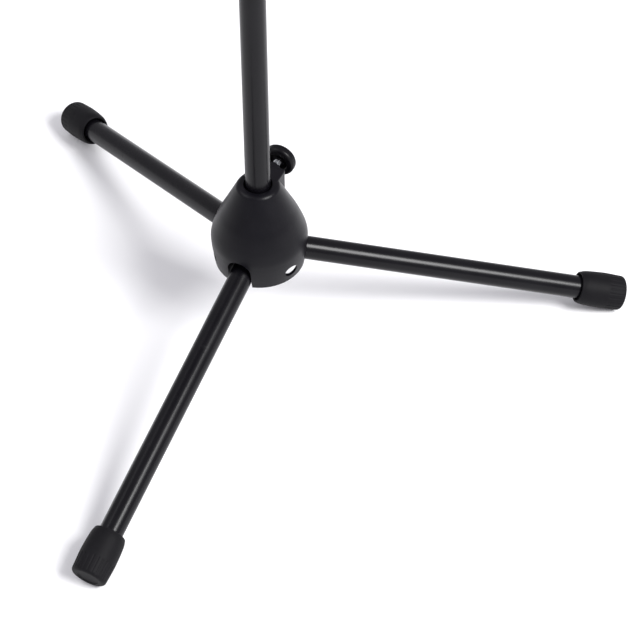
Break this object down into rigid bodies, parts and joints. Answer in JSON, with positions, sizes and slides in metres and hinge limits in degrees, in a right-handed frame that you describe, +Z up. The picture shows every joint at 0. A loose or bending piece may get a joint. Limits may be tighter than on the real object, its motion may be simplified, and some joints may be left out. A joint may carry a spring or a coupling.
{
  "type": "folding music stand",
  "caption": "Folding music stand: moulded bell hub on tube legs with rubber feet, clamped telescopic column, tilting sheet-steel desk with a ledge.",
  "frame": {"origin": "on the floor, on the column's axis, under the middle of the hub", "axes": "+Z up along the column; one leg points along -Y, which is the reader's side; the hub's thumb screw points along +Y"},
  "size_m": [0.5318, 0.4636, 1.2017],
  "materials": {
    "moulded_black": "satin moulded, finely grained",
    "knob_black": "matte moulded",
    "nylon": "plain moulded",
    "black_paint": "satin powder coat on steel tube",
    "desk_paint": "fine textured powder coat on sheet steel",
    "rivet_black": "black painted rivets",
    "foot_rubber": "matte rubber",
    "zinc_steel": "bright zinc plated",
    "brass": "turned"
  },
  "bodies": {
    "hub": {"hub_shell": "moulded_black", "hub_insert": "brass", "leg_pin_front": "zinc_steel", "leg_pin_right": "zinc_steel", "leg_pin_left": "zinc_steel"},
    "hub_clamp_pad": {"hub_pad": "nylon"},
    "hub_clamp_knob": {"hub_screw": "zinc_steel", "hub_knob": "knob_black"},
    "lower_column": {"lower_tube": "black_paint", "lower_plug": "nylon", "height_collar": "moulded_black", "height_insert": "brass"},
    "height_clamp_pad": {"height_pad": "nylon"},
    "height_clamp_knob": {"height_screw": "zinc_steel", "height_knob": "knob_black"},
    "guide": {"guide_plug": "nylon"},
    "upper_column": {"upper_tube": "black_paint", "tilt_head": "moulded_black", "tilt_washers": "nylon"},
    "desk": {"desk_plate": "desk_paint", "desk_shelf": "desk_paint", "desk_bracket": "desk_paint", "bracket_rivets": "rivet_black", "shelf_rivet_1": "rivet_black", "shelf_rivet_2": "rivet_black", "shelf_rivet_3": "rivet_black", "shelf_rivet_4": "rivet_black", "shelf_rivet_5": "rivet_black", "tilt_bolt": "zinc_steel"},
    "tilt_washer": {"tilt_cup_washer": "zinc_steel"},
    "tilt_clamp_knob": {"tilt_knob": "knob_black", "tilt_insert": "brass"},
    "leg_front": {"leg_tube_front": "black_paint", "leg_lug_front": "nylon", "foot_front": "foot_rubber"},
    "leg_right": {"leg_tube_right": "black_paint", "leg_lug_right": "nylon", "foot_right": "foot_rubber"},
    "leg_left": {"leg_tube_left": "black_paint", "leg_lug_left": "nylon", "foot_left": "foot_rubber"}
  },
  "joints": [
    {"name": "leg_front_fold", "type": "hinge", "parent": "hub", "child": "leg_front", "pos_m": [0, -0.023, 0.09468], "axis": [1, 0, 0], "range_deg": [0, 72.9]},
    {"name": "leg_right_fold", "type": "hinge", "parent": "hub", "child": "leg_right", "pos_m": [0.01992, 0.0115, 0.09468], "axis": [-0.5, 0.866, 0], "range_deg": [0, 72.9]},
    {"name": "leg_left_fold", "type": "hinge", "parent": "hub", "child": "leg_left", "pos_m": [-0.01992, 0.0115, 0.09468], "axis": [-0.5, -0.866, 0], "range_deg": [0, 72.9]},
    {"name": "column_slide", "type": "slide", "parent": "hub", "child": "lower_column", "axis": [0, 0, 1], "range_m": [-0.435, 0.02]},
    {"name": "hub_pad_slide", "type": "slide", "parent": "hub", "child": "hub_clamp_pad", "axis": [0, 1, 0], "range_m": [0, 0.003]},
    {"name": "hub_knob_turn", "type": "hinge", "parent": "hub_clamp_pad", "child": "hub_clamp_knob", "pos_m": [0, 0.03, 0.1572], "axis": [0, 1, 0], "range_deg": [0, 1080]},
    {"name": "height_slide", "type": "slide", "parent": "lower_column", "child": "guide", "axis": [0, 0, 1], "range_m": [-0.2, 0.2785]},
    {"name": "height_pad_slide", "type": "slide", "parent": "lower_column", "child": "height_clamp_pad", "axis": [0, 1, 0], "range_m": [0, 0.003]},
    {"name": "height_knob_turn", "type": "hinge", "parent": "height_clamp_pad", "child": "height_clamp_knob", "pos_m": [0, 0.03, 0.647], "axis": [0, 1, 0], "range_deg": [0, 1080]},
    {"name": "desk_swivel", "type": "hinge", "parent": "guide", "child": "upper_column", "pos_m": [0, 0, 0.5], "axis": [0, 0, 1], "continuous": true},
    {"name": "desk_tilt", "type": "hinge", "parent": "upper_column", "child": "desk", "pos_m": [0, 0, 0.985], "axis": [-1, 0, 0], "range_deg": [-22, 68]},
    {"name": "tilt_washer_slide", "type": "slide", "parent": "desk", "child": "tilt_washer", "axis": [-1, 0, 0], "range_m": [0, 0.003]},
    {"name": "tilt_knob_turn", "type": "hinge", "parent": "tilt_washer", "child": "tilt_clamp_knob", "pos_m": [-0.025, 0, 0.985], "axis": [-1, 0, 0], "range_deg": [0, 1080]}
  ],
  "couplings": [
    {"joint": "hub_pad_slide", "follows": "hub_knob_turn", "m_per_rad": 0.00015915},
    {"joint": "height_pad_slide", "follows": "height_knob_turn", "m_per_rad": 0.00015915},
    {"joint": "tilt_washer_slide", "follows": "tilt_knob_turn", "m_per_rad": 0.00015915}
  ]
}
